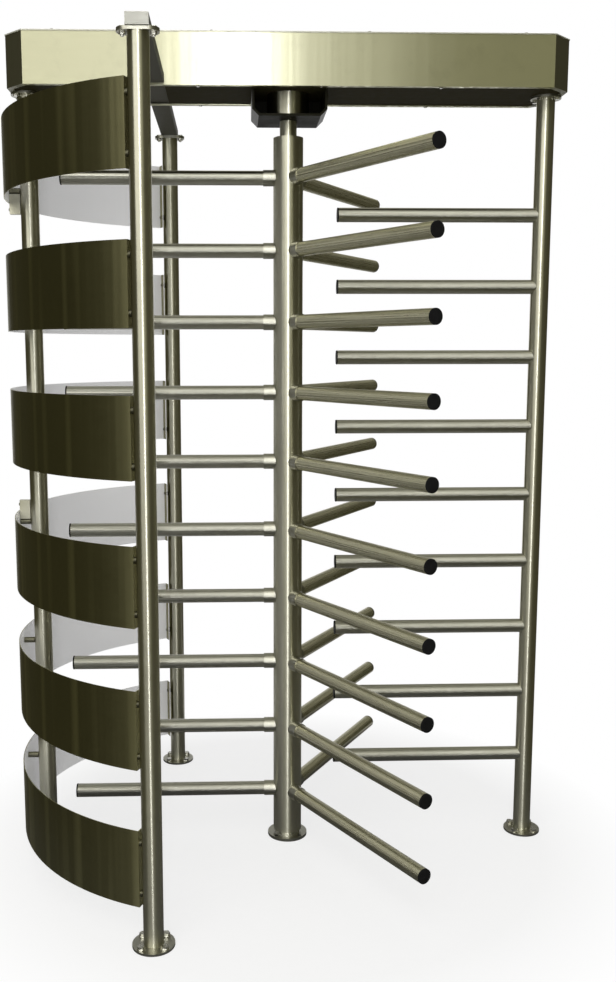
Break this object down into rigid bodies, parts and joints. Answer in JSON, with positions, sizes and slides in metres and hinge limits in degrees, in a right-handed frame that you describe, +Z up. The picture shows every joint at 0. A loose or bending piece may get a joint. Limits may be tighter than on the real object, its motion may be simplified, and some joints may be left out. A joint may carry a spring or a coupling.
{
  "type": "full height turnstile",
  "caption": "Full height turnstile with a three-wing rotor of round arms, a fixed comb of bars, curved drum panels on slim posts and a long chamfered head housing the lock.",
  "frame": {"origin": "On the floor, on the rotor's axis of rotation.", "axes": "+Z is up, +X points from the rotor to the comb post, -Y is the side the picture was taken from."},
  "size_m": [1.4855, 1.2204, 2.194],
  "materials": {
    "post_steel": "polished stainless tube",
    "flange_steel": "machined and brushed",
    "beam_steel": "brushed rectangular tube",
    "panel_steel": "brushed sheet",
    "comb_steel": "polished stainless tube",
    "fascia_steel": "brushed sheet",
    "head_end_steel": "brushed sheet",
    "lid_steel": "brushed sheet",
    "underside_steel": "mirror-finished sheet",
    "fastener_steel": "plain stainless",
    "black_cap": "moulded black end caps",
    "rotor_steel": "polished stainless tube",
    "arm_steel": "polished stainless tube",
    "housing_steel": "machined steel",
    "shaft_steel": "ground steel",
    "pivot_steel": "turned steel",
    "bearing_steel": "ground bearing steel",
    "frame_paint": "black painted steel",
    "lock_steel": "hardened and zinc plated",
    "solenoid_case": "black coated",
    "box_plastic": "grey moulded case"
  },
  "bodies": {
    "frame": {"anchor_bolts": "fastener_steel", "anchor_washers": "fastener_steel", "base_flanges": "flange_steel", "beam_caps": "beam_steel", "beam_flanges": "flange_steel", "bearing_balls": "bearing_steel", "bearing_housing": "housing_steel", "bearing_outer_ring": "bearing_steel", "comb_bars": "comb_steel", "comb_caps": "black_cap", "control_box": "box_plastic", "cover_lock": "fastener_steel", "cross_beam": "beam_steel", "drum_panel_1": "panel_steel", "drum_panel_2": "panel_steel", "drum_panel_3": "panel_steel", "drum_panel_4": "panel_steel", "drum_panel_5": "panel_steel", "drum_panel_6": "panel_steel", "drum_post_front": "post_steel", "drum_post_rear": "post_steel", "flange_bolts": "fastener_steel", "flange_nuts": "fastener_steel", "head_end_left": "head_end_steel", "head_end_right": "head_end_steel", "head_fascia_front": "fascia_steel", "head_fascia_rear": "fascia_steel", "head_flanges": "flange_steel", "head_floor_left": "underside_steel", "head_floor_right": "underside_steel", "head_lid": "lid_steel", "head_post_left": "post_steel", "head_post_right": "post_steel", "head_rails": "frame_paint", "head_screws": "fastener_steel", "mechanism_plate": "frame_paint", "mount_plates": "frame_paint", "panel_screws": "fastener_steel", "panel_spacers": "fastener_steel", "pawl_pins": "shaft_steel", "pivot_pin": "shaft_steel", "pivot_plate": "pivot_steel", "pivot_ring": "pivot_steel", "solenoids": "solenoid_case", "stop_clips": "fastener_steel"},
    "rotor": {"rotor_column": "rotor_steel", "column_plugs": "rotor_steel", "rotor_arms_a": "arm_steel", "rotor_arms_b": "arm_steel", "rotor_arms_c": "arm_steel", "arm_sockets": "rotor_steel", "arm_caps": "black_cap", "drive_shaft": "shaft_steel", "bearing_inner_ring": "bearing_steel", "index_disc": "lock_steel"},
    "right_lock": {"pawl_right": "lock_steel"},
    "left_lock": {"pawl_left": "lock_steel"},
    "right_pusher": {"plunger_right": "lock_steel"},
    "left_pusher": {"plunger_left": "lock_steel"}
  },
  "joints": [
    {"name": "rotor_spin", "type": "hinge", "parent": "frame", "child": "rotor", "pos_m": [0, 0, 0], "axis": [0, 0, 1], "continuous": true},
    {"name": "right_pawl_swing", "type": "hinge", "parent": "frame", "child": "right_lock", "pos_m": [0.096, -0.06, 2.122], "axis": [0, 0, 1], "range_deg": [0, 11]},
    {"name": "left_pawl_swing", "type": "hinge", "parent": "frame", "child": "left_lock", "pos_m": [-0.096, -0.06, 2.122], "axis": [0, 0, -1], "range_deg": [0, 11]},
    {"name": "right_plunger_slide", "type": "slide", "parent": "frame", "child": "right_pusher", "axis": [-1, 0, 0], "range_m": [0, 0.01]},
    {"name": "left_plunger_slide", "type": "slide", "parent": "frame", "child": "left_pusher", "axis": [1, 0, 0], "range_m": [0, 0.01]}
  ],
  "couplings": [
    {"joint": "right_plunger_slide", "follows": "right_pawl_swing", "m_per_rad": 0.0518},
    {"joint": "left_plunger_slide", "follows": "left_pawl_swing", "m_per_rad": 0.0518}
  ]
}
